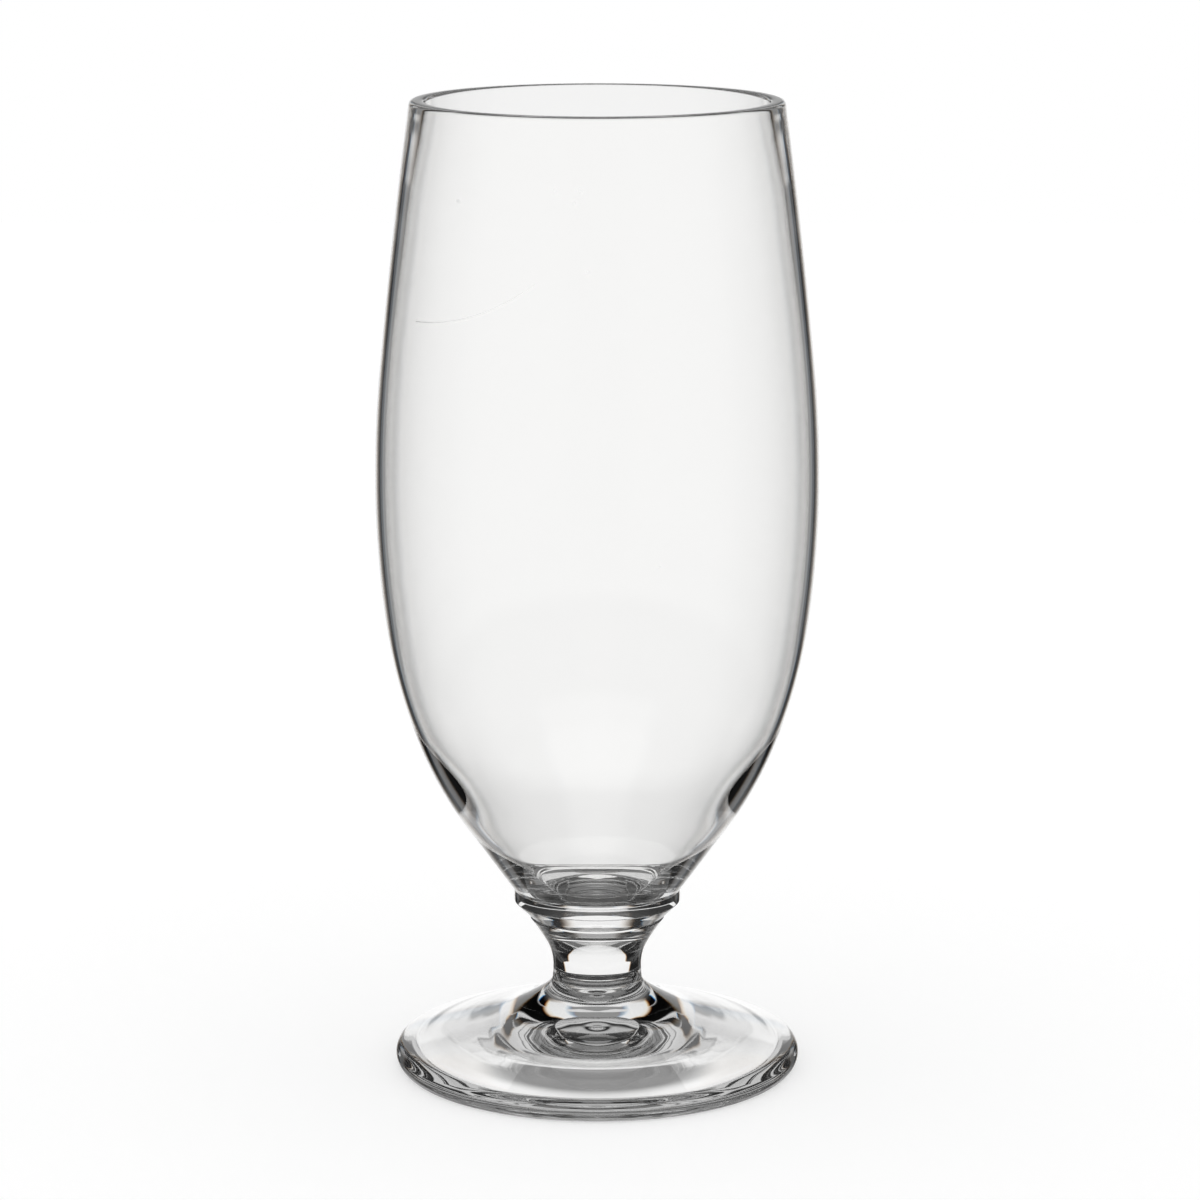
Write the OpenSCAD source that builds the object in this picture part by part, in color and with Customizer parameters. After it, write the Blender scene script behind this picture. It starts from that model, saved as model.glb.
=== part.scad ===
// Footed pilsner glass in clear moulded plastic: a blown bowl, a solid waisted stem and a
// domed foot, each moulded on its own and bonded spigot in socket on one upright axis.
// Every piece is a body of revolution. Its outline is a chain of circular arcs, each arc
// tangent to the one before it, through the few points that the sizes below give.

/* [Bowl outline] */
// Outer diameter of the bowl at the rim
rim_d = 62; // [56:0.5:68]
// Height of the bowl from its seat on the stem to the rim
bowl_h = 138.8; // [134:0.2:145]
// Outer diameter of the upper side, where the belly's curve eases towards the rim
shoulder_d = 72.6; // [71:0.1:74]
// Height of that place above the bowl's seat
shoulder_h = 93.8; // [90:0.2:98]
// Largest outer diameter of the bowl
belly_d = 74.4; // [74:0.1:77]
// Height of the largest diameter above the bowl's seat
belly_h = 74.7; // [71:0.1:78]
// Outer diameter where the belly begins to close
hip_d = 71.4; // [69:0.1:73]
// Height of the hip above the bowl's seat
hip_h = 51.8; // [48:0.2:55]
// Outer diameter halfway down the closing side
flank_d = 59.9; // [58:0.1:62]
// Height of the flank above the bowl's seat
flank_h = 29.8; // [28:0.2:32]
// Outer diameter where the closing side turns straight
heel_d = 41.5; // [39:0.1:44]
// Height of the heel above the bowl's seat
heel_h = 13.8; // [12.4:0.2:15]

/* [Bowl walls] */
// Wall at the rim
rim_wall = 2.7; // [1.5:0.1:3.5]
// Height of the thick lip below the rim
lip_h = 17; // [8:0.5:24]
// Wall below the lip
lip_wall = 1.95; // [1.2:0.05:2.6]
// Wall around the belly
belly_wall = 1.6; // [1:0.05:2.4]
// Wall at its thinnest, on the closing side
flank_wall = 1.35; // [1:0.05:2]
// Height of the thinnest wall above the bowl's seat
thin_h = 33.6; // [30:0.2:38]
// Wall at the heel and up to the top of the swell below the thin part
heel_wall = 2.1; // [1.5:0.1:2.6]
// Height of the top of that swell above the bowl's seat
swell_h = 18.4; // [16:0.2:22]
// Radius of the rounding on the rim's edges
rim_round = 0.7; // [0.3:0.05:0.74]

/* [Bowl base] */
// Diameter of the collar round the bowl's base
collar_d = 28.3; // [26.5:0.1:30]
// Height of the collar's upright face
collar_h = 2; // [1.2:0.1:2.6]
// Diameter of the bowl's seat, the small end of the taper below the collar
seat_d = 23.2; // [22.8:0.1:24.4]
// Height of the taper between the seat and the collar
taper_h = 2.5; // [1.8:0.1:3]
// Thickness of the bowl's floor over its seat
floor_t = 5.4; // [4.4:0.1:6]
// Diameter of the flat part of the floor
floor_d = 20; // [16:0.5:20.5]
// Diameter at which the floor's rounded edge turns into the side
turn_d = 22.8; // [22.2:0.1:23.6]
// Height of that turn above the floor
turn_h = 0.6; // [0.4:0.1:1]

/* [Stem] */
// Height of the stem between its two seats
stem_h = 11.6; // [10.6:0.2:15]
// Diameter of the stem's flared top
stem_top_d = 22.9; // [21.5:0.1:23.2]
// Radius of the rounding on the edge of the flared top
stem_top_round = 0.5; // [0.2:0.05:0.9]
// Diameter of the stem's waist
waist_d = 15.1; // [14:0.1:15.4]
// Height of the waist above the stem's lower seat
waist_h = 2.6; // [2:0.1:3.4]
// Diameter where the waist's curve runs into the straight flare
flare_d = 17.4; // [16.6:0.1:18]
// Height of that place above the stem's lower seat
flare_h = 6.9; // [6:0.1:8]
// Diameter of the stem's lower end
stem_end_d = 15.4; // [15.2:0.1:16]

/* [Foot] */
// Largest diameter of the foot
foot_d = 69.2; // [66:0.2:74]
// Height of the foot up to the stem's lower seat
foot_h = 14.6; // [13.8:0.1:16]
// Diameter of the foot's neck, where the stem sits
neck_d = 15.4; // [15.2:0.1:16]
// Steepness of the neck where it leaves the stem, in degrees below level
neck_angle = 58; // [50:1:64]
// Diameter at the end of the neck's tight curve
neck_foot_d = 19.7; // [19:0.1:20.5]
// Drop from the stem's lower seat to that place
neck_foot_drop = 2.15; // [1.8:0.05:2.5]
// Diameter at which the foot's upper side turns straight
slope_d = 36.3; // [33:0.1:40]
// Height of the foot's upper side there
slope_h = 8.75; // [8.2:0.05:9.2]
// Diameter at which the straight upper side ends and the edge begins
edge_d = 66.4; // [62:0.2:66.8]
// Height of the foot's upper side at the edge
edge_h = 3.95; // [3.4:0.05:4.6]
// Height of the outermost line of the edge
edge_tip_h = 2; // [1.2:0.1:2.6]

/* [Foot underside] */
// Outer diameter of the flat ring that the glass stands on
rest_d = 67.2; // [65.6:0.1:67.6]
// Diameter of the hollow under the foot
hollow_d = 60; // [54:0.5:62]
// Rise of the hollow at the middle of the foot
hollow_h = 4.2; // [2:0.1:5]

/* [Bonded joints] */
// Diameter of the spigot on the stem's top, which enters the bowl's base
top_spigot_d = 11; // [8:0.1:14]
// Height of that spigot
top_spigot_h = 0.9; // [0.5:0.05:1]
// Diameter of the spigot under the stem, which enters the foot
end_spigot_d = 12.4; // [8:0.1:12.8]
// Length of that spigot
end_spigot_h = 4; // [2:0.1:5]
// Gap left for the bond round and beyond each spigot
bond_gap = 0.1; // [0.05:0.05:0.3]

/* [Hidden] */
$fn = 120;

// Points that one arc of an outline gets
arc_steps = 10;
// A turn below this many degrees is drawn as one straight line
straight_angle = 0.001;

// Places along the axis where the pieces meet
stem_z = foot_h;
bowl_z = stem_z + stem_h;
rim_z = bowl_z + bowl_h;

// Angle of a vector, and an angle brought between -180 and 180 degrees
function heading(v) = atan2(v.y, v.x);
function wrapped(a) = a - 360 * round(a / 360);

// Turn from the direction h to the straight line between p and q
function half_turn(p, h, q) = wrapped(heading(q - p) - h);

// Points, each with its direction, of the arc that leaves p in direction h and ends at q
function arc_to(p, h, q, steps = arc_steps) =
    let (
        half = half_turn(p, h, q),
        r = norm(q - p) / (2 * sin(half))
    )
    [
        if (abs(half) >= straight_angle)
        for (i = [1 : steps])
        let (a = h + 2 * half * i / steps)
        [p + r * [sin(a) - sin(h), cos(h) - cos(a)], a],
        if (abs(half) < straight_angle) [q, h]
    ];

// Points and directions of tangent arcs from p, in direction h at first, through the knots
function chain(p, h, knots, i = 0) =
    i == len(knots)
        ? []
        : concat(
            arc_to(p, h, knots[i]),
            chain(knots[i], h + 2 * half_turn(p, h, knots[i]), knots, i + 1)
        );

// Points alone of such a chain
function outline(p, h, knots) = [for (step = chain(p, h, knots)) step[0]];

function reversed(list) = [for (i = [len(list) - 1 : -1 : 0]) list[i]];

// Rises smoothly from 0 to 1 as x passes from a to b
function eased(x, a, b) =
    let (t = min(1, max(0, (x - a) / (b - a))))
    t * t * (3 - 2 * t);

// The bowl's outer side from its largest diameter, up to the rim and down to the collar
belly = [belly_d / 2, bowl_z + belly_h];
rim = [rim_d / 2, rim_z];
shoulder = [shoulder_d / 2, bowl_z + shoulder_h];
hip = [hip_d / 2, bowl_z + hip_h];
flank = [flank_d / 2, bowl_z + flank_h];
heel = [heel_d / 2, bowl_z + heel_h];
collar_top = [collar_d / 2, bowl_z + taper_h + collar_h];
upper_side = chain(belly, 90, [shoulder, rim]);
lower_side = chain(belly, -90, [hip, flank, heel]);

// Heights between which the wall changes, with the wall at each
wall_heights = [
    heel.y, bowl_z + swell_h, bowl_z + thin_h, hip.y,
    shoulder.y, rim_z - lip_h, rim_z
];
walls = [heel_wall, heel_wall, flank_wall, belly_wall, belly_wall, lip_wall, rim_wall];

// Sum of the first n smooth steps between the walls, at the height z
function wall_change(z, n) =
    n == 0
        ? 0
        : wall_change(z, n - 1)
            + (walls[n] - walls[n - 1]) * eased(z, wall_heights[n - 1], wall_heights[n]);

function wall_at(z) = walls[0] + wall_change(z, len(walls) - 1);

// A step of the outer side moved into the bowl by the wall, with inward as +1 or -1
function inner_point(step, inward) =
    step[0] + inward * wall_at(step[0].y) * [-sin(step[1]), cos(step[1])];

inner_upper = [for (step = upper_side) inner_point(step, 1)];
inner_lower = [for (step = lower_side) inner_point(step, -1)];
inner_heel = inner_lower[len(inner_lower) - 1];
floor_z = bowl_z + floor_t;
floor_edge = [floor_d / 2, floor_z];
floor_turn = [turn_d / 2, floor_z + turn_h];

// The rim's two rounded edges, from the outer side over the top to the inner side
rim_lean = upper_side[len(upper_side) - 1][1];
rim_climb = [cos(rim_lean), sin(rim_lean)];
rim_inner = inner_upper[len(inner_upper) - 1];
rim_inner_corner = rim_inner + rim_climb * (rim_z - rim_inner.y) / rim_climb.y;
rim_start = rim - rim_round * rim_climb;
rim_points = concat(
    [rim_start],
    outline(rim_start, rim_lean, [rim - [rim_round, 0]]),
    [rim_inner_corner + [rim_round, 0]],
    outline(rim_inner_corner + [rim_round, 0], 180, [rim_inner_corner - rim_round * rim_climb])
);

module revolved(points) {
    rotate_extrude() polygon(points);
}

// Disc of a spigot or of the room for one, from height z upwards
module disc(d, z, h) {
    translate([0, 0, z]) cylinder(d = d, h = h);
}

// Blown bowl: thick lip, thin belly, a swell low down, a thick flat floor, collar and taper
module bowl() {
    outer_lower = [for (step = lower_side) step[0]];
    outer_upper = [for (step = upper_side) if (step[0].y < rim_start.y) step[0]];
    inner_top = [for (p = inner_upper) if (p.y < rim_start.y) p];
    floor_side = outline(floor_edge, 0, [floor_turn, inner_heel]);
    color([0.93, 0.95, 0.95, 0.35])
    difference() {
        revolved(concat(
            [[0, bowl_z], [seat_d / 2, bowl_z]],
            [[collar_d / 2, bowl_z + taper_h], collar_top],
            reversed(outer_lower),
            [belly],
            outer_upper,
            rim_points,
            reversed(inner_top),
            [inner_point([belly, 90], 1)],
            inner_lower,
            reversed(floor_side),
            [floor_edge, [0, floor_z]]
        ));
        disc(top_spigot_d + 2 * bond_gap, bowl_z - bond_gap, top_spigot_h + 2 * bond_gap);
    }
}

// Solid stem: waist and flared top, with a spigot at each end
module stem() {
    waist = [waist_d / 2, stem_z + waist_h];
    flare = [flare_d / 2, stem_z + flare_h];
    top_edge = [stem_top_d / 2, bowl_z - stem_top_round];
    top_seat = [stem_top_d / 2 - stem_top_round, bowl_z];
    stem_end = [stem_end_d / 2, stem_z];
    color([0.9, 0.92, 0.92, 0.35])
    union() {
        revolved(concat(
            [[0, stem_z], stem_end],
            reversed(outline(waist, -90, [stem_end])),
            [waist],
            outline(waist, 90, [flare, top_edge]),
            outline(top_edge, 90, [top_seat]),
            [[0, bowl_z]]
        ));
        disc(top_spigot_d, bowl_z, top_spigot_h);
        disc(end_spigot_d, stem_z - end_spigot_h, end_spigot_h);
    }
}

// Domed foot: necked middle with a socket, straight slope, round edge and hollow underside
module foot() {
    neck = [neck_d / 2, foot_h];
    neck_foot = [neck_foot_d / 2, foot_h - neck_foot_drop];
    slope = [slope_d / 2, slope_h];
    edge = [edge_d / 2, edge_h];
    tip = [foot_d / 2, edge_tip_h];
    rest = [rest_d / 2, 0];
    hollow_side = [hollow_d / 2, 0];
    hollow_top = [0, hollow_h];
    color([0.88, 0.9, 0.9, 0.35])
    difference() {
        revolved(concat(
            [[0, foot_h], neck],
            outline(neck, -neck_angle, [neck_foot, slope, edge, tip]),
            outline(tip, -90, [rest]),
            [hollow_side],
            reversed(outline(hollow_top, 0, [hollow_side])),
            [hollow_top]
        ));
        disc(end_spigot_d + 2 * bond_gap, foot_h - end_spigot_h - bond_gap, end_spigot_h + 2 * bond_gap);
    }
}

bowl();
stem();
foot();
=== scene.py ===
"""A footed pilsner glass of clear plastic: its finish, its light and the camera.

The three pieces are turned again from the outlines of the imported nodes, with many more facets,
because what is seen in clear plastic is what its surfaces bend and mirror. Lengths are in metres,
angles in radians, and brightness is a share of white.
"""
import math

import bpy
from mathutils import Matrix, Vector


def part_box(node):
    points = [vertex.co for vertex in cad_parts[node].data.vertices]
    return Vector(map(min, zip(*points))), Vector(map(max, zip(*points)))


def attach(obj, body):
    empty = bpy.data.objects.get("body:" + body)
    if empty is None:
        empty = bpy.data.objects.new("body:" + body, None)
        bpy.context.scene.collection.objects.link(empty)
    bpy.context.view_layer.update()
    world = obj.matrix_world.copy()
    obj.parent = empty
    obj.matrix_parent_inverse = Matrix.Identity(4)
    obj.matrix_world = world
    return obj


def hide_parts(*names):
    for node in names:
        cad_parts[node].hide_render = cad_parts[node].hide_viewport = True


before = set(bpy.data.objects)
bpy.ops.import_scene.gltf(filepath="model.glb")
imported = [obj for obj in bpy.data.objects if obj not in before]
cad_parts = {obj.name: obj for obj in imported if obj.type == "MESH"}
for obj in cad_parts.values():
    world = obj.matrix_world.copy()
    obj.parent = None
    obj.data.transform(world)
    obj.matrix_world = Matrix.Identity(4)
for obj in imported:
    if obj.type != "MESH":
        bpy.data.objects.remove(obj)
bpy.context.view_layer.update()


def degrees(*angles):
    """Angles given in degrees, as radians."""
    return tuple(math.radians(angle) for angle in angles)


# Turning the pieces
SEGMENTS = 232
LONGEST_STEP = 0.00095
FLAT_STEP = 0.0025
SHARP_TURN = math.radians(24)
SAME_RING = 4e-6
RINGS_NEARBY = 6
EDGE_ROUND = 0.00012
EDGE_PARTS = 3
EDGE_STEPS = 3
ON_PLANE = 2e-5
BOND_GAP = 0.0002
SOCKET_REACH = 0.0058

# Clear plastic, its bond and its shadow
PLASTIC_IOR = 1.585
PLASTIC_TINT = (0.988, 0.987, 0.983, 1)
BOND_ROUGHNESS = 0.3
SHADOW_TINT = (0.93, 0.935, 0.935, 1)
SMUDGE_SCALE = 90.0
SMUDGE_DETAIL = 5.0
SMUDGE_START = 0.62
SMUDGE_FULL = 0.8
SMUDGE_ROUGHNESS = 0.05
RIPPLE_SCALE = 60.0
RIPPLE_DETAIL = 1.0
RIPPLE_STRENGTH = 0.05
RIPPLE_DEPTH = 0.00002

# Wear on the bowl's front: a scratch that curves up from its low point, and specks (x, z, radius)
WEAR_ROUGHNESS = 0.45
SCRATCH_LOW_X = -0.0314
SCRATCH_LOW_Z = 0.1309
SCRATCH_CURVE = 17.0
SCRATCH_START_X = -0.0294
SCRATCH_END_X = -0.0099
SCRATCH_HALF_WIDTH = 0.0001
SPECKS = (
    (-0.0222, 0.1510, 0.0003),
    (-0.0015, 0.1409, 0.0003),
    (0.0100, 0.0937, 0.0002),
    (-0.0067, 0.1535, 0.0003),
    (-0.0027, 0.1537, 0.0004),
    (-0.0037, 0.1517, 0.0003),
)

# A curved sheet inside the bowl's wall, which parts its outer face from its inner one
MID_WALL_RADIUS = 0.03625
MID_WALL_WIDEST_Z = 0.0937
MID_WALL_CURVE = 1.33

# Limits between whole counts of bendings or of mirrorings, which tell how light got to its end
INSIDE = 0.5
THROUGH_BOTH_WALLS = 3.5
UNDER_BOWL = 4.5
MIRRORED = 0.5
MIRRORED_AGAIN = 1.5
ABOUT_SIX_MIRRORINGS = (6.0, 1.9)

# A direction is an angle to the side, from straight behind the glass, and a height. A pair of
# angles is a span over which the light changes: a patch lies beside one and until another, above
# one and below another.

# Seen by light that is only bent: a screen behind and in front, wider low down
SCREEN_END = degrees(29.5, 32.5)
SCREEN_WIDENING = math.radians(9)
SCREEN_WIDENS_BELOW = degrees(-5, -1)
SCREEN_BOTTOM = degrees(-52, -44)
DARK_SIDE = 0.01
TABLE_LIGHT = 0.75
TABLE_TOP = degrees(-38, -30)

# Seen through both walls of the bowl
WALL_LIGHT = 1.1
WALL_BRIGHTENS = degrees(-22, -15)
WALL_BOTTOM = degrees(-34, -28)
TABLE_BEHIND = 0.12
TABLE_BEHIND_END = degrees(10, 16)
STEEP_TABLE = degrees(-54, -46)

# Seen by light that was mirrored once: a start and then changes of brightness towards the side
LEVEL_BAND = (1.0, (degrees(12, 22), -0.97), (degrees(27, 30), 0.27), (degrees(38, 42), -0.27))
LOW_BAND = (1.0, (degrees(13, 24), -0.7), (degrees(27, 31), 0.4), (degrees(36, 42), -0.66))
HIGH_MIDDLE = (0.3, (degrees(8, 12), -0.2), (degrees(18, 20), -0.1))
MIRRORED_TABLE = 0.04
MIRRORED_TABLE_TOP = degrees(-46, -40)
LEVEL_BAND_BOTTOM = degrees(-28, -22)
HIGH_BOTTOM = degrees(2, 8)
HIGH_FROM_INSIDE_BOWL = 0.2
HIGH_BESIDE = {"light": 0.9, "beside": degrees(7, 12), "until": degrees(30, 42)}
HIGH_DARK = {"beside": degrees(18, 21), "above": degrees(14, 16)}
DARK_STRIPE = {"beside": degrees(18, 20), "until": degrees(24, 25.5), "below": degrees(14.5, 15.5)}
HIGH_STRIP = {
    "light": 0.75, "until": degrees(12, 16), "above": degrees(12, 14), "below": degrees(17.5, 19)}
ROOM_IN_FRONT = {"light": 0.1, "beside": degrees(100, 104)}
LAMP = {"beside": degrees(125, 140), "above": degrees(25, 35)}
LAMP_LIGHT = 0.7

# Seen by light that was mirrored more than once
OFTEN_DARK = 0.02
OFTEN_LAMP_LIGHT = 0.25
OFTEN_SCREEN = {"light": 0.5, "until": degrees(16, 30), "above": degrees(12, 24)}
OFTEN_TABLE = {
    "light": 0.2, "until": degrees(58, 66), "above": degrees(-60, -50), "below": degrees(-4, 2)}
OFTEN_ROOM = {
    "light": 0.6, "until": degrees(62, 68), "above": degrees(2, 7), "below": degrees(21, 26)}

# Seen through the bowl's floor and out again under it
UNDER_BOWL_SIDE = {
    "light": 0.95, "beside": degrees(30, 40), "above": degrees(-34, -28), "below": degrees(6, 12)}

# The room for all other light, and how far apart red, green and blue are bent
ROOM_LIGHT = 0.9
COLOUR_SPREAD = math.radians(0.25)

# The floor, and the painted light and shade that show of it through the glass: radii, and slants of
# the path of light
FLOOR_HALF = 1.2
FLOOR_DROP = 0.0001
FLOOR_PAINT = (0.8, 0.8, 0.8, 1)
FLOOR_GLOW = 0.3
WHITE = (1, 1, 1, 1)
GLASS_REACH = (0.034, 0.036)
UNSEEN_IN_MIRROR = (0.022, 0.026)
# A painted shadow on the floor, a little to the front of the axis, that shows only through the glass:
# its centre, its soft edge and its brightness
PAINTED_SHADOW_Y = -0.007
PAINTED_SHADOW_EDGE = (0.0145, 0.021)
PAINTED_SHADOW_LIGHT = 0.32
# The painted glow of the floor round that shadow, and its share on mirrored paths
UNDER_FOOT_LIGHT = 1.05
FOOT_MIRRORED = 0.58
# Painted light and shade of the floor seen through the bowl's floor, by radius and by the slant of the
# path of light
BOWL_RING_EDGE = (0.02, 0.023)
BOWL_RING_SLANT = (0.19, 0.26)
UPRIGHT_SLANT = (0.045, 0.06)
FROM_BOWL_LIGHT = 1.3
FROM_BOWL_DARK = 0.08

# Longest paths of light
MOST_BOUNCES = 24
MOST_MIRRORINGS = 16

# The photograph's size and the camera that took it: pixels, a sensor in mm, and object heights
PHOTO_SIDE = 1200
FOCAL_PIXELS = 4327
CENTRE_PIXEL = 597.2
SENSOR = 36
CAMERA_BACK = 4.327
CAMERA_UP = 1.39846
CAMERA_DOWN_TILT = 0.2070
CAMERA_CLIP = 0.01

# Where the pieces meet, from the frame
stem_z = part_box("foot")[1].z
bowl_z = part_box("bowl")[0].z
rim_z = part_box("bowl")[1].z
stem_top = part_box("stem")[1].z


# Outlines


def rings_of(node):
    """Every ring of a turned node as (radius, height), and which rings its edges join."""
    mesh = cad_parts[node].data
    spots = [(math.hypot(v.co.x, v.co.y), v.co.z) for v in mesh.vertices]
    order = sorted(range(len(spots)), key=lambda i: (round(spots[i][1] / SAME_RING), spots[i][0]))
    rings = []
    ring_at = [0] * len(spots)
    for i in order:
        late = range(max(0, len(rings) - RINGS_NEARBY), len(rings))
        near = [k for k in late if math.dist(rings[k], spots[i]) < SAME_RING]
        if not near:
            rings.append(spots[i])
            near = [len(rings) - 1]
        ring_at[i] = near[0]
    joined = [set() for _ in rings]
    for edge in mesh.edges:
        a, b = (ring_at[i] for i in edge.vertices)
        if a != b:
            joined[a].add(b)
            joined[b].add(a)
    return rings, joined


def outline_of(node):
    """A turned node's outline as (radius, height) points, from the axis round to the axis."""
    rings, joined = rings_of(node)
    ends = [k for k, others in enumerate(joined) if len(others) == 1]
    k = min(ends, key=lambda k: rings[k][1])
    walk = []
    while k is not None:
        walk.append(k)
        k = next((n for n in joined[k] if n not in walk), None)
    points = [rings[k] for k in walk]
    if points[0][0] > SAME_RING:
        points.insert(0, (0.0, points[0][1]))
    if points[-1][0] > SAME_RING:
        points.append((0.0, points[-1][1]))
    return [Vector(p) for p in points]


def turn_at(points, i):
    """Angle by which the outline turns at its point i."""
    if i in (0, len(points) - 1):
        return math.pi
    return (points[i] - points[i - 1]).angle(points[i + 1] - points[i])


def tangent_at(points, i, sharp):
    """Direction of the smooth curve through a point, or None where the outline is sharp."""
    if sharp[i]:
        return None
    before = points[i] - points[i - 1]
    after = points[i + 1] - points[i]
    weighted = before.normalized() * after.length + after.normalized() * before.length
    return weighted.normalized()


def mirrored(direction, chord):
    """Direction at one end of an arc over the chord, from that at its other end."""
    along = chord.normalized()
    return 2 * direction.dot(along) * along - direction


def hermite(a, leave, b, reach, t):
    """Point at share t of the cubic curve from a to b with those end directions."""
    rest = 1 - t
    return (1 + 2 * t) * rest * rest * a + t * rest * rest * leave \
        + t * t * (3 - 2 * t) * b - t * t * rest * reach


def smooth_outline(points):
    """The outline with its smooth runs drawn as fine curves, and its straight runs split."""
    sharp = [turn_at(points, i) > SHARP_TURN for i in range(len(points))]
    fine = [points[0]]
    for i in range(len(points) - 1):
        a, b = points[i], points[i + 1]
        chord = b - a
        leave, reach = tangent_at(points, i, sharp), tangent_at(points, i + 1, sharp)
        straight = leave is None and reach is None
        leave = leave or (chord.normalized() if straight else mirrored(reach, chord))
        reach = reach or (chord.normalized() if straight else mirrored(leave, chord))
        steps = max(1, math.ceil(chord.length / (FLAT_STEP if straight else LONGEST_STEP)))
        for n in range(1, steps + 1):
            point = hermite(a, leave * chord.length, b, reach * chord.length, n / steps)
            point.y = min(max(point.y, 0.0), rim_z)
            fine.append(point)
    return fine


def eased_edges(points, keep):
    """The outline with a small round, within a part of its sides, on each sharp edge but kept ones."""
    out = [points[0]]
    for i in range(1, len(points) - 1):
        corner = points[i]
        if turn_at(points, i) <= SHARP_TURN or corner.x < SAME_RING or keep(corner):
            out.append(corner)
            continue
        back, on = points[i - 1] - corner, points[i + 1] - corner
        reach = min(EDGE_ROUND, back.length / EDGE_PARTS, on.length / EDGE_PARTS)
        start, end = corner + back.normalized() * reach, corner + on.normalized() * reach
        for n in range(EDGE_STEPS + 1):
            t = n / EDGE_STEPS
            out.append((1 - t) ** 2 * start + 2 * t * (1 - t) * corner + t * t * end)
    return out + [points[-1]]


# Meshes


def turned(name, outline, material_of):
    """A closed mesh turned round the axis from an outline, which starts and ends on it."""
    verts, faces, kinds, rings = [], [], [], []
    for r, z in outline:
        count = 1 if r < SAME_RING else SEGMENTS
        rings.append(range(len(verts), len(verts) + count))
        for s in range(count):
            angle = 2 * math.pi * s / SEGMENTS
            verts.append((r * math.cos(angle), r * math.sin(angle), z) if count > 1 else (0, 0, z))
    for a, b, low, high in zip(outline, outline[1:], rings, rings[1:]):
        for s in range(SEGMENTS):
            t = (s + 1) % SEGMENTS
            if len(low) == 1:
                faces.append((low[0], high[t], high[s]))
            elif len(high) == 1:
                faces.append((low[s], low[t], high[0]))
            else:
                faces.append((low[s], low[t], high[t], high[s]))
            kinds.append(material_of((a + b) / 2))
    mesh = bpy.data.meshes.new(name)
    mesh.from_pydata(verts, [], faces)
    mesh.validate()
    mesh.polygons.foreach_set("material_index", kinds)
    mesh.set_sharp_from_angle(angle=SHARP_TURN)
    piece = bpy.data.objects.new(name, mesh)
    bpy.context.scene.collection.objects.link(piece)
    return piece


# Node trees


class Wiring:
    """A material's or world's node tree, emptied, with short ways to add to it."""

    def __init__(self, owner):
        owner.use_nodes = True
        self.tree = owner.node_tree
        self.tree.nodes.clear()

    def add(self, kind, sockets=None, **settings):
        """A node of that kind, with its settings and with sockets set to values or linked."""
        node = self.tree.nodes.new(kind)
        for key, value in settings.items():
            setattr(node, key, value)
        for key, value in (sockets or {}).items():
            if isinstance(value, bpy.types.NodeSocket):
                self.tree.links.new(value, node.inputs[key])
            else:
                node.inputs[key].default_value = value
        return node

    def maths(self, operation, *values):
        """A Math node's result."""
        return self.add("ShaderNodeMath", dict(enumerate(values)), operation=operation).outputs[0]

    def chain(self, operation, first, *others):
        """The same operation on one value after another."""
        for other in others:
            first = self.maths(operation, first, other)
        return first

    def plus(self, *values):
        """The sum of the values."""
        return self.chain("ADD", *values)

    def minus(self, value, taken):
        """The first value less the second."""
        return self.maths("SUBTRACT", value, taken)

    def times(self, *values):
        """The product of the values."""
        return self.chain("MULTIPLY", *values)

    def most(self, *values):
        """The largest of the values."""
        return self.chain("MAXIMUM", *values)

    def squared(self, value):
        """A value times itself."""
        return self.times(value, value)

    def over(self, value, limit):
        """1 where the value is over the limit, else 0."""
        return self.maths("GREATER_THAN", value, limit)

    def within(self, value, middle, reach):
        """1 where the value is within reach of the middle, else 0."""
        return self.maths("COMPARE", value, middle, reach)

    def rise(self, x, span):
        """Rises smoothly from 0 to 1 as x crosses the span."""
        start, end = span
        node = self.add("ShaderNodeMapRange", {"Value": x, "From Min": start, "From Max": end},
                        interpolation_type="SMOOTHSTEP")
        return node.outputs[0]

    def fall(self, x, span):
        """Falls smoothly from 1 to 0 as x crosses the span."""
        return self.minus(1.0, self.rise(x, span))

    def mix(self, share, low, high):
        """The value at that share of the way from low to high."""
        return self.add("ShaderNodeMix", {0: share, 2: low, 3: high}).outputs[0]

    def blend(self, share, shader, other):
        """The shader at that share of the way from one to the other."""
        sockets = {0: share, 1: shader.outputs[0], 2: other.outputs[0]}
        return self.add("ShaderNodeMixShader", sockets)

    def place(self):
        """Where a point of the surface lies in its object."""
        return self.add("ShaderNodeTexCoord").outputs["Object"]

    def path(self):
        """What is known of the path of light."""
        return self.add("ShaderNodeLightPath").outputs

    def seen_in_glass(self, path):
        """1 for what shows in or through a glossy or clear surface, else 0."""
        return self.most(path["Is Glossy Ray"], path["Is Transmission Ray"])

    def show(self, kind, shader):
        """Makes the shader the tree's surface."""
        self.add(kind, {"Surface": shader.outputs[0]})


# Materials


def specks(w, x, z):
    """1 on each speck, else 0, from places across and up the bowl."""
    found = 0.0
    for speck_x, speck_z, radius in SPECKS:
        across = w.squared(w.minus(x, speck_x))
        up = w.squared(w.minus(z, speck_z))
        found = w.most(found, w.maths("LESS_THAN", w.plus(across, up), radius * radius))
    return found


def scratch(w, x, z):
    """1 on a hairline scratch, else 0, from places across and up the bowl."""
    from_low = w.squared(w.minus(x, SCRATCH_LOW_X))
    line = w.maths("MULTIPLY_ADD", from_low, SCRATCH_CURVE, SCRATCH_LOW_Z)
    middle = (SCRATCH_START_X + SCRATCH_END_X) / 2
    half_length = (SCRATCH_END_X - SCRATCH_START_X) / 2
    return w.times(w.within(z, line, SCRATCH_HALF_WIDTH), w.within(x, middle, half_length))


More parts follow.
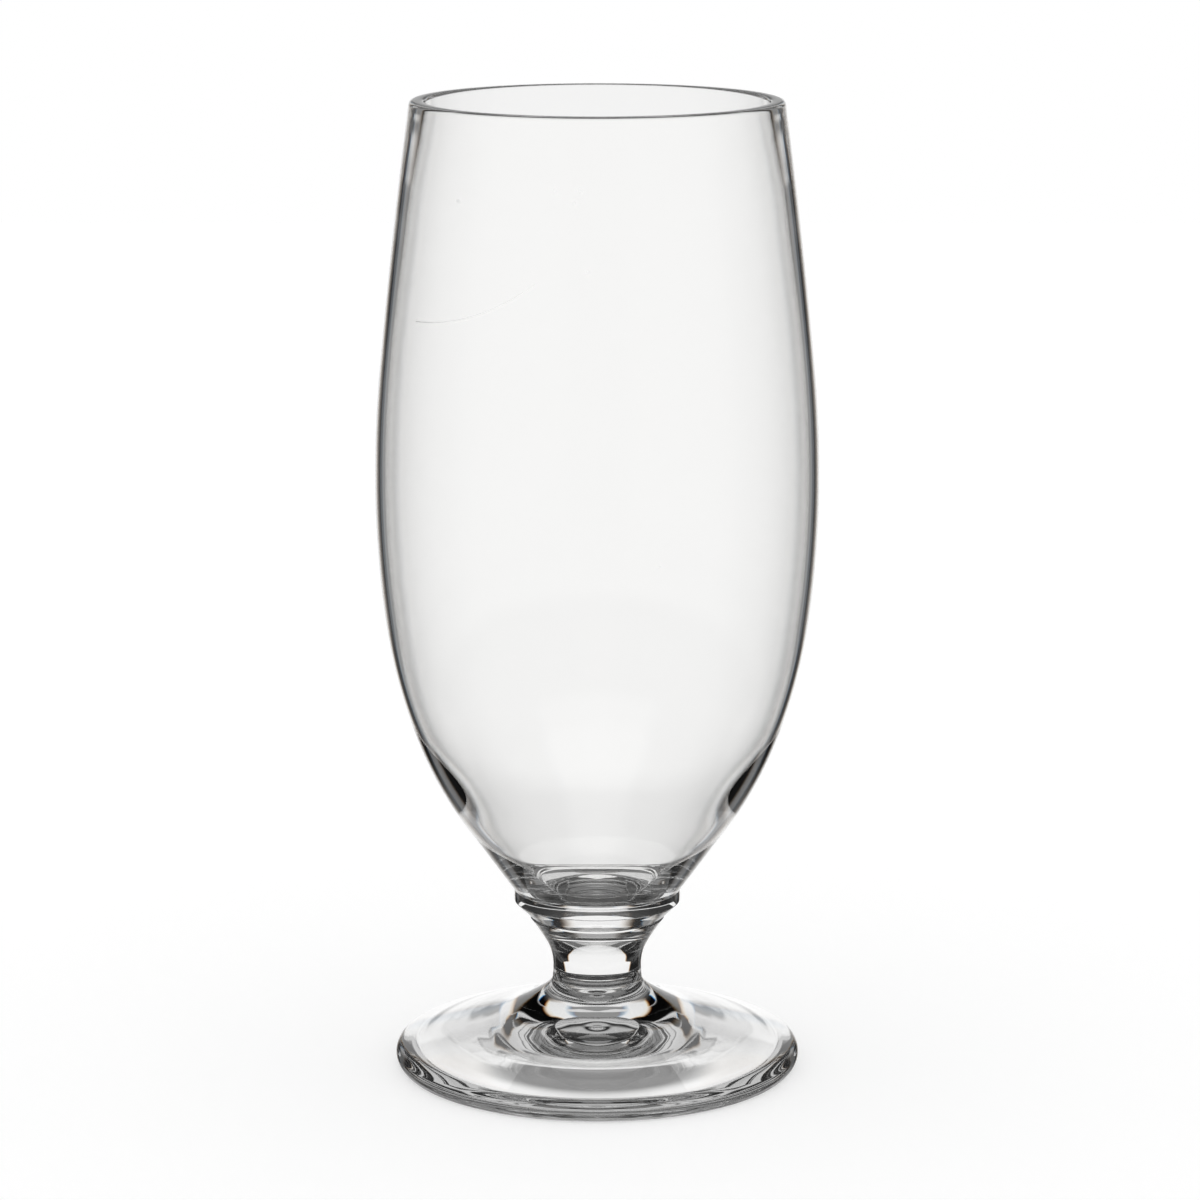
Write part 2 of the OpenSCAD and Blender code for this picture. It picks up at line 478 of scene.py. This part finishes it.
def wear(w, place):
    """1 on the scratch and specks on the outside of the bowl's front, else 0."""
    x, y, z = w.add("ShaderNodeSeparateXYZ", {0: place}).outputs
    from_widest = w.squared(w.minus(z, MID_WALL_WIDEST_Z))
    mid_wall = w.maths("MULTIPLY_ADD", from_widest, -MID_WALL_CURVE, MID_WALL_RADIUS)
    from_axis = w.maths("SQRT", w.plus(w.squared(x), w.squared(y)))
    front = w.maths("LESS_THAN", y, 0.0)
    return w.times(w.most(scratch(w, x, z), specks(w, x, z)), w.over(from_axis, mid_wall), front)


def clear_plastic(name, worn):
    """Clear plastic with faint handling marks and a moulded ripple, and wear on the bowl."""
    material = bpy.data.materials.new(name)
    w = Wiring(material)
    place = w.place()
    smudges = w.add("ShaderNodeTexNoise", {
        "Vector": place, "Scale": SMUDGE_SCALE, "Detail": SMUDGE_DETAIL}).outputs["Fac"]
    roughness = w.add("ShaderNodeMapRange", {
        "Value": smudges, "From Min": SMUDGE_START, "From Max": SMUDGE_FULL,
        "To Min": 0.0, "To Max": SMUDGE_ROUGHNESS}).outputs[0]
    if worn:
        roughness = w.most(roughness, w.times(wear(w, place), WEAR_ROUGHNESS))
    ripple = w.add("ShaderNodeTexNoise", {
        "Vector": place, "Scale": RIPPLE_SCALE, "Detail": RIPPLE_DETAIL}).outputs["Fac"]
    bump = w.add("ShaderNodeBump", {
        "Height": ripple, "Strength": RIPPLE_STRENGTH, "Distance": RIPPLE_DEPTH})
    body = w.add("ShaderNodeBsdfPrincipled", {
        "Base Color": PLASTIC_TINT, "Roughness": roughness, "IOR": PLASTIC_IOR,
        "Transmission Weight": 1.0, "Normal": bump.outputs[0]})
    shadow = w.add("ShaderNodeBsdfTransparent", {"Color": SHADOW_TINT})
    w.show("ShaderNodeOutputMaterial", w.blend(w.path()["Is Shadow Ray"], body, shadow))
    return material


def bond(name):
    """The clear bond between two pieces, which light passes straight through."""
    material = bpy.data.materials.new(name)
    w = Wiring(material)
    body = w.add("ShaderNodeBsdfPrincipled", {
        "Alpha": 0.0, "Roughness": BOND_ROUGHNESS, "IOR": PLASTIC_IOR})
    w.show("ShaderNodeOutputMaterial", body)
    return material


# The pieces


def on_seat(p):
    """Whether an outline's point lies on a plane where two pieces meet."""
    return min(abs(p.y - stem_z), abs(p.y - bowl_z)) < ON_PLANE


def bonded_faces(p):
    """1 where the outline's point lies on a face that is bonded to the next piece, else 0."""
    in_top_socket = p.x < SOCKET_REACH and bowl_z < p.y < stem_top + ON_PLANE + BOND_GAP
    return int(on_seat(p) or in_top_socket)


def add_piece(node, worn=False):
    """One node of the glass, turned again and given its finish."""
    outline = smooth_outline(eased_edges(outline_of(node), bonded_faces))
    piece = turned(f"{node}_clear", outline, bonded_faces)
    piece.data.materials.append(clear_plastic(f"{node}_plastic", worn))
    piece.data.materials.append(bond(f"{node}_bond"))
    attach(piece, "root")
    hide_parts(node)


# Light round the glass


def patch(w, side, height, light=1.0, beside=None, until=None, above=None, below=None):
    """A patch of light of that brightness, between the spans where it starts and ends."""
    starts = ((side, beside), (height, above))
    ends = ((side, until), (height, below))
    edges = [w.rise(x, span) for x, span in starts if span]
    edges += [w.fall(x, span) for x, span in ends if span]
    return w.times(light, *edges)


def band(w, side, light, *changes):
    """A brightness that starts straight behind and changes over spans towards the side."""
    for span, change in changes:
        light = w.plus(light, w.times(w.rise(side, span), change))
    return light


def light_straight(w, side, height):
    """What light that is only bent sees: a bright screen behind and in front, dark sides."""
    from_middle = w.maths("MINIMUM", side, w.minus(math.pi, side))
    widening = w.times(w.fall(height, SCREEN_WIDENS_BELOW), SCREEN_WIDENING)
    across = w.fall(w.minus(from_middle, widening), SCREEN_END)
    screen = w.times(across, w.rise(height, SCREEN_BOTTOM))
    table = patch(w, side, height, TABLE_LIGHT, below=TABLE_TOP)
    return w.most(screen, table, DARK_SIDE)


def light_through_walls(w, side, height):
    """What shows through both walls of the bowl: the pale room, and a darker table low down."""
    steep = w.mix(w.rise(side, TABLE_BEHIND_END), TABLE_BEHIND, TABLE_LIGHT)
    table = w.mix(w.fall(height, STEEP_TABLE), TABLE_BEHIND, steep)
    wall = w.mix(w.rise(height, WALL_BRIGHTENS), 1.0, WALL_LIGHT)
    return w.mix(w.rise(height, WALL_BOTTOM), table, wall)


def light_mirrored_high(w, side, height):
    """What light that was mirrored once sees above the level of the glass."""
    dark = w.most(patch(w, side, height, **HIGH_DARK), patch(w, side, height, **DARK_STRIPE))
    beside = w.times(patch(w, side, height, **HIGH_BESIDE), w.minus(1.0, dark))
    strip = patch(w, side, height, **HIGH_STRIP)
    return w.most(beside, strip, band(w, side, *HIGH_MIDDLE))


def light_mirrored(w, side, height, path):
    """What light that was mirrored once inside the plastic sees."""
    low = w.mix(w.rise(height, MIRRORED_TABLE_TOP), MIRRORED_TABLE, band(w, side, *LOW_BAND))
    level = w.mix(w.rise(height, LEVEL_BAND_BOTTOM), low, band(w, side, *LEVEL_BAND))
    from_bowl = w.over(path["Transmission Depth"], THROUGH_BOTH_WALLS)
    high = w.mix(from_bowl, light_mirrored_high(w, side, height), HIGH_FROM_INSIDE_BOWL)
    seen = w.mix(w.rise(height, HIGH_BOTTOM), level, high)
    inside = w.over(path["Transmission Depth"], INSIDE)
    lamp = w.times(patch(w, side, height, LAMP_LIGHT, **LAMP), inside)
    return w.most(seen, patch(w, side, height, **ROOM_IN_FRONT), lamp)


def light_mirrored_often(w, side, height, path):
    """What light that was mirrored more than once sees: dim patches in a dark room."""
    screen = patch(w, side, height, **OFTEN_SCREEN)
    lamp = patch(w, side, height, OFTEN_LAMP_LIGHT, **LAMP)
    table = patch(w, side, height, **OFTEN_TABLE)
    many_times = w.within(path["Glossy Depth"], *ABOUT_SIX_MIRRORINGS)
    room = w.times(patch(w, side, height, **OFTEN_ROOM), many_times)
    return w.most(screen, lamp, table, room, OFTEN_DARK)


def light_under_bowl(w, side, height, path):
    """What shows through the bowl's floor and out again under it: the room at its sides."""
    went_under = w.over(path["Transmission Depth"], UNDER_BOWL)
    was_mirrored = w.over(path["Glossy Depth"], MIRRORED)
    return w.times(patch(w, side, height, **UNDER_BOWL_SIDE), went_under, was_mirrored)


def light_seen(w, side, height, path):
    """What a path that has been in the plastic sees in one direction, by how it got there."""
    through = w.over(path["Transmission Depth"], THROUGH_BOTH_WALLS)
    bent = w.mix(through, light_straight(w, side, height), light_through_walls(w, side, height))
    was_mirrored = w.over(path["Glossy Depth"], MIRRORED)
    mirrored_again = w.over(path["Glossy Depth"], MIRRORED_AGAIN)
    not_often = w.mix(was_mirrored, bent, light_mirrored(w, side, height, path))
    seen = w.mix(mirrored_again, not_often, light_mirrored_often(w, side, height, path))
    return w.most(seen, light_under_bowl(w, side, height, path))


def add_world():
    """White for the camera, and round the glass what its plastic bends and mirrors."""
    world = bpy.data.worlds.new("studio")
    bpy.context.scene.world = world
    w = Wiring(world)
    way = w.add("ShaderNodeTexCoord").outputs["Generated"]
    x, y, z = w.add("ShaderNodeSeparateXYZ", {0: way}).outputs
    side = w.maths("ABSOLUTE", w.maths("ARCTAN2", x, y))
    height = w.maths("ARCSINE", z)
    path = w.path()
    colours = [light_seen(w, w.plus(side, shift), height, path)
               for shift in (-COLOUR_SPREAD, 0.0, COLOUR_SPREAD)]
    seen = w.add("ShaderNodeCombineColor", dict(enumerate(colours))).outputs[0]
    room = w.mix(path["Is Camera Ray"], ROOM_LIGHT, 1.0)
    shown = w.add("ShaderNodeMix", {0: w.seen_in_glass(path), 6: room, 7: seen}, data_type="RGBA")
    w.show("ShaderNodeOutputWorld", w.add("ShaderNodeBackground", {"Color": shown.outputs[2]}))


# The floor


def painted_floor_light_from_foot(w, place, mirrored_path):
    """How bright the floor's painted glow is through the foot, with a painted shadow towards the front
    of its middle.
    """
    # The painted shadow is centred here and softens over its edge span
    spot = {0: place, 1: (0.0, PAINTED_SHADOW_Y, 0.0)}
    from_spot = w.add("ShaderNodeVectorMath", spot, operation="DISTANCE").outputs["Value"]
    shade = w.mix(w.rise(from_spot, PAINTED_SHADOW_EDGE), PAINTED_SHADOW_LIGHT, UNDER_FOOT_LIGHT)
    return w.times(shade, w.mix(mirrored_path, 1.0, FOOT_MIRRORED))


def painted_floor_light_from_bowl(w, from_axis):
    """Painted light and shade of the floor through the bowl's floor: bright past its middle and where
    the path is upright, dark elsewhere.
    """
    slant = w.add("ShaderNodeLayerWeight", {"Blend": 0.5}).outputs["Facing"]
    past_middle = w.times(w.rise(from_axis, BOWL_RING_EDGE), w.fall(slant, BOWL_RING_SLANT))
    bright = w.most(past_middle, w.fall(slant, UPRIGHT_SLANT))
    return w.mix(bright, FROM_BOWL_DARK, FROM_BOWL_LIGHT)


def floor_in_glass(w, path):
    """The floor as the glass shows it: a painted glow, with painted shade, under the foot, and open to
    the room elsewhere.
    """
    place = w.place()
    from_axis = w.add("ShaderNodeVectorMath", {0: place}, operation="LENGTH").outputs["Value"]
    mirrored_path = w.over(path["Glossy Depth"], MIRRORED)
    from_bowl = w.over(path["Transmission Depth"], THROUGH_BOTH_WALLS)
    unseen = w.times(mirrored_path, w.most(w.fall(from_axis, UNSEEN_IN_MIRROR), from_bowl))
    shown = w.times(w.fall(from_axis, GLASS_REACH), w.minus(1.0, unseen))
    foot_light = painted_floor_light_from_foot(w, place, mirrored_path)
    strength = w.mix(from_bowl, foot_light, painted_floor_light_from_bowl(w, from_axis))
    # The floor's painted glow, seen only through the glass
    lit = w.add("ShaderNodeEmission", {"Color": WHITE, "Strength": strength})
    return w.blend(shown, w.add("ShaderNodeBsdfTransparent"), lit)


def floor_material():
    """A pale floor that keeps the glass's soft shadow."""
    material = bpy.data.materials.new("floor_white")
    w = Wiring(material)
    path = w.path()
    paint = w.add("ShaderNodeBsdfDiffuse", {"Color": FLOOR_PAINT})
    glow = w.add("ShaderNodeEmission", {"Color": WHITE, "Strength": FLOOR_GLOW})
    pale = w.add("ShaderNodeAddShader", {0: paint.outputs[0], 1: glow.outputs[0]})
    shown = w.blend(w.seen_in_glass(path), pale, floor_in_glass(w, path))
    w.show("ShaderNodeOutputMaterial", shown)
    return material


def add_floor():
    """The floor that the glass stands on."""
    mesh = bpy.data.meshes.new("floor")
    signs = ((-1, -1), (1, -1), (1, 1), (-1, 1))
    corners = [(x * FLOOR_HALF, y * FLOOR_HALF, 0) for x, y in signs]
    mesh.from_pydata(corners, [], [(0, 1, 2, 3)])
    mesh.materials.append(floor_material())
    floor = bpy.data.objects.new("floor", mesh)
    bpy.context.scene.collection.objects.link(floor)
    floor.location.z = -FLOOR_DROP


# The scene


def clear_defaults():
    """Takes away the objects of the start-up scene."""
    for name in ("Cube", "Light", "Camera"):
        if name in bpy.data.objects:
            bpy.data.objects.remove(bpy.data.objects[name])


def add_camera():
    """The camera where the photographer's stood."""
    data = bpy.data.cameras.new("camera")
    data.sensor_width = SENSOR
    data.lens = SENSOR * FOCAL_PIXELS / PHOTO_SIDE
    data.shift_x = (PHOTO_SIDE / 2 - CENTRE_PIXEL) / PHOTO_SIDE
    data.clip_start = CAMERA_CLIP
    camera = bpy.data.objects.new("camera", data)
    bpy.context.scene.collection.objects.link(camera)
    camera.location = (0, -CAMERA_BACK * rim_z, CAMERA_UP * rim_z)
    camera.rotation_euler = (math.pi / 2 - CAMERA_DOWN_TILT, 0, 0)
    bpy.context.scene.camera = camera


def set_render():
    """Plain colours, and paths long enough for clear plastic."""
    scene = bpy.context.scene
    scene.view_settings.view_transform = "Standard"
    scene.cycles.max_bounces = MOST_BOUNCES
    scene.cycles.transmission_bounces = MOST_BOUNCES
    scene.cycles.glossy_bounces = MOST_MIRRORINGS
    scene.cycles.transparent_max_bounces = MOST_BOUNCES


clear_defaults()
add_piece("bowl", worn=True)
add_piece("stem")
add_piece("foot")
add_world()
add_floor()
add_camera()
set_render()
